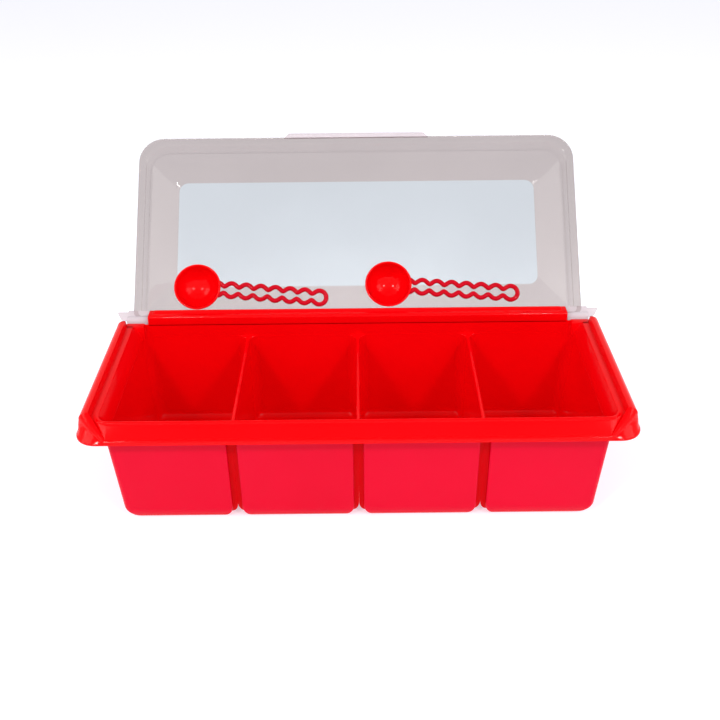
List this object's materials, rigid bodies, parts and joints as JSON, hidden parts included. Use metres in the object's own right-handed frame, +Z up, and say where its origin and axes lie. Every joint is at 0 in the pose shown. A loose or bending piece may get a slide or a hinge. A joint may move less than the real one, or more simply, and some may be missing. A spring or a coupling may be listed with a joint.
{
  "type": "condiment caddy",
  "caption": "Long divided condiment tray with a rolled rim, a clear domed lid hinged along its back edge and standing open, and loose round-bowl scoops with wavy loop handles.",
  "frame": {"origin": "on the table, at the middle of the room that the open caddy takes", "axes": "X along the tray to the viewer's right, Y from the front to the hinge, Z up"},
  "size_m": [0.284, 0.1948, 0.151],
  "materials": {
    "red_plastic": "smooth moulded, glossy",
    "clear_plastic": "clear, glossy, faintly grey"
  },
  "bodies": {
    "tray": {"tray": "red_plastic"},
    "lid": {"lid": "clear_plastic"},
    "spoon_left": {"spoon_left": "red_plastic"},
    "spoon_right": {"spoon_right": "red_plastic"}
  },
  "joints": [
    {"name": "lid_hinge", "type": "hinge", "parent": "tray", "child": "lid", "pos_m": [0, 0.0172, 0.0642], "axis": [1, 0, 0], "range_deg": [0, 131.9]},
    {"name": "spoon_left_lift", "type": "slide", "parent": "lid", "child": "spoon_left", "axis": [0, -0.5, 0.866], "range_m": [0, 0.15]},
    {"name": "spoon_right_lift", "type": "slide", "parent": "lid", "child": "spoon_right", "axis": [0, -0.5, 0.866], "range_m": [0, 0.15]}
  ]
}
